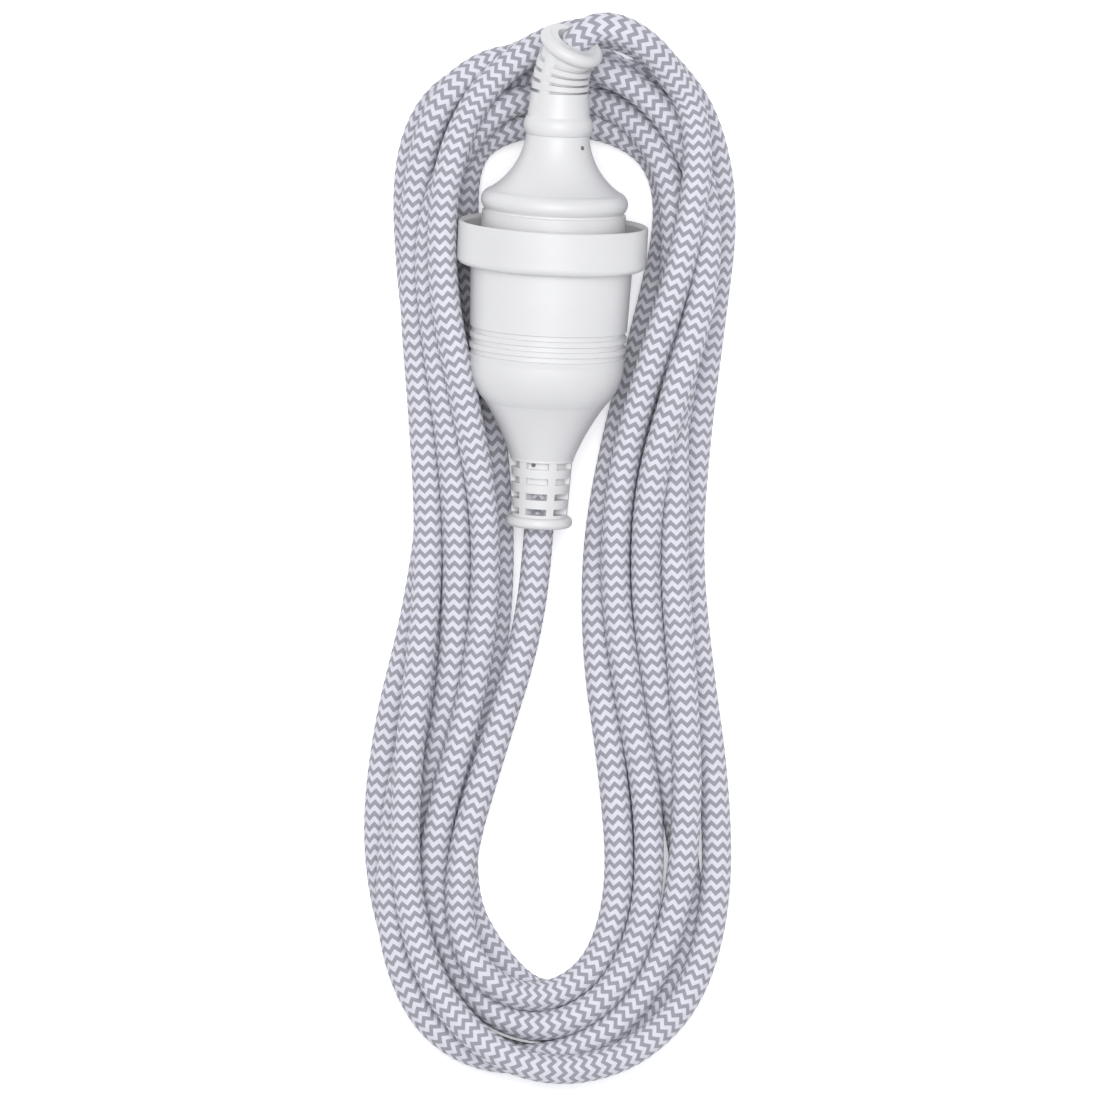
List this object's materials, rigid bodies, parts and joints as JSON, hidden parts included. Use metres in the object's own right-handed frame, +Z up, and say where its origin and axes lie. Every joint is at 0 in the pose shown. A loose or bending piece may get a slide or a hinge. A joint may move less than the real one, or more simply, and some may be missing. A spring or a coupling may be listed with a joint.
{
  "type": "extension cord",
  "caption": "Extension cord: a moulded flat-pin mains plug pushed into a shrouded line socket, on one braided lead folded into a loose hank.",
  "frame": {"origin": "on the surface the cord lies on, under the middle of the joined plug and socket", "axes": "+Z up; +Y from the socket towards the plug, along the joined pair; the mating axis rises 8 degrees towards the plug"},
  "size_m": [0.0964, 0.2795, 0.0498],
  "materials": {
    "white_moulding": "satin moulded PVC",
    "face_plastic": "satin",
    "inner_plastic": "matt",
    "contact_brass": "drawn brass",
    "sleeve_plastic": "satin black",
    "crimp_steel": "tinned",
    "core_brown": "extruded PVC",
    "core_blue": "extruded PVC",
    "core_green": "extruded PVC",
    "braid": "grey and white zigzag textile braid"
  },
  "bodies": {
    "socket": {"socket_housing": "white_moulding", "socket_boot": "white_moulding", "collar_ring": "white_moulding", "socket_face": "face_plastic", "contact_plate": "inner_plastic", "active_contact": "contact_brass", "neutral_contact": "contact_brass", "earth_contact": "contact_brass", "socket_active_crimp": "crimp_steel", "socket_neutral_crimp": "crimp_steel", "socket_earth_crimp": "crimp_steel", "socket_active_core": "core_brown", "socket_neutral_core": "core_blue", "socket_earth_core": "core_green", "socket_core_spreader": "inner_plastic", "socket_sheath_end": "braid", "socket_lead": "braid", "cord_hank": "braid"},
    "plug": {"plug_housing": "white_moulding", "plug_boot": "white_moulding", "plug_pin_carrier": "face_plastic", "active_pin": "contact_brass", "neutral_pin": "contact_brass", "earth_pin": "contact_brass", "active_pin_sleeve": "sleeve_plastic", "neutral_pin_sleeve": "sleeve_plastic", "plug_active_crimp": "crimp_steel", "plug_neutral_crimp": "crimp_steel", "plug_earth_crimp": "crimp_steel", "plug_core_spreader": "inner_plastic", "plug_active_core": "core_brown", "plug_neutral_core": "core_blue", "plug_earth_core": "core_green", "plug_sheath_end": "braid", "plug_lead": "braid"}
  },
  "joints": [
    {"name": "plug_pull", "type": "slide", "parent": "socket", "child": "plug", "axis": [0, 0.9903, 0.1392], "range_m": [0, 0.028]}
  ]
}
